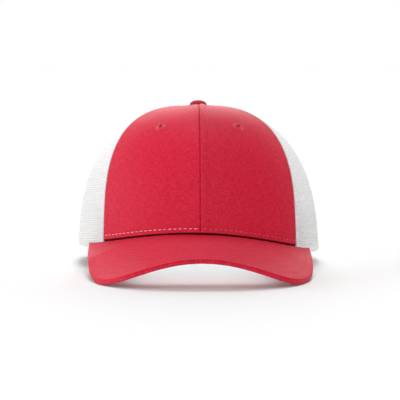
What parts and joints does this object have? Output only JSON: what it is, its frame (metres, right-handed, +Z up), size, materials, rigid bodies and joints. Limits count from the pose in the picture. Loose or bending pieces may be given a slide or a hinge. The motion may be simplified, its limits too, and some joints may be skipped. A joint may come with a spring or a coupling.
{
  "type": "trucker hat",
  "caption": "Six-panel trucker hat with stiff cloth front panels, mesh sides and back, an arched visor, a covered button and a snap strap under a half-moon opening.",
  "frame": {"origin": "on the floor, under the middle of the hat's bounding box", "axes": "+X to the right of someone facing the hat, +Y from the visor to the back, +Z up, with the hat resting on its visor and its strap"},
  "size_m": [0.181, 0.2746, 0.1207],
  "materials": {
    "cloth": "cotton twill on stiff backing",
    "mesh": "knitted polyester mesh",
    "tape": "woven tape",
    "strap": "moulded polyethylene",
    "thread": "satin-stitched thread"
  },
  "bodies": {
    "root": {"front_panel_left": "cloth", "front_panel_right": "cloth", "side_mesh_left": "mesh", "side_mesh_right": "mesh", "back_mesh_left": "mesh", "back_mesh_right": "mesh", "visor": "cloth", "button": "cloth", "eyelet_left": "thread", "eyelet_right": "thread", "sweatband": "tape", "opening_binding": "tape", "snap_strap": "strap", "front_seam_tape": "tape", "back_seam_tape": "tape", "side_seam_tape_left": "tape", "side_seam_tape_right": "tape", "rear_seam_tape_left": "tape", "rear_seam_tape_right": "tape"}
  },
  "joints": []
}
